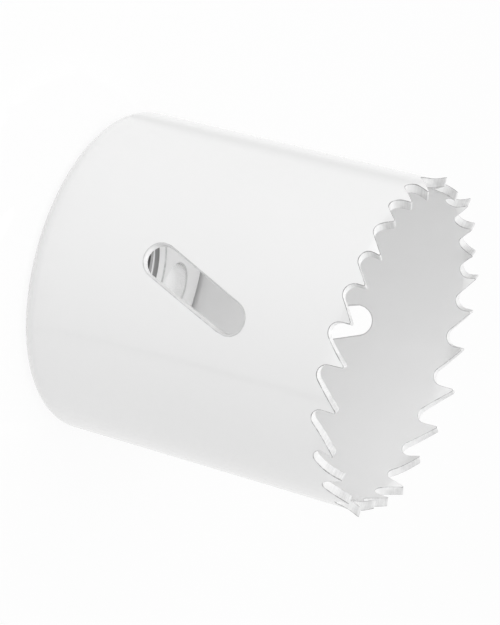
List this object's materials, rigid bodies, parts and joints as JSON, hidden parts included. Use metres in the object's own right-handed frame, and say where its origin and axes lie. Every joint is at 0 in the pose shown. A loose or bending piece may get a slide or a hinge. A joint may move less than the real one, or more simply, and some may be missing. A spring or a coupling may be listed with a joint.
{
  "type": "hole saw",
  "caption": "White painted bi-metal hole saw: a steel tube with slanted ejection slots, set teeth at its mouth and a threaded back plate.",
  "frame": {"origin": "centre of the back face, on the saw's axis", "axes": "+Z along the axis from the back plate to the teeth; one slot and one drive-pin hole look towards -Y"},
  "size_m": [0.0435, 0.0435, 0.044],
  "materials": {
    "white_paint": "gloss",
    "hard_steel": "satin"
  },
  "bodies": {
    "root": {"toothed_shell": "white_paint", "cutting_tips": "hard_steel", "back_plate": "white_paint", "weld_bead": "white_paint"}
  },
  "joints": []
}
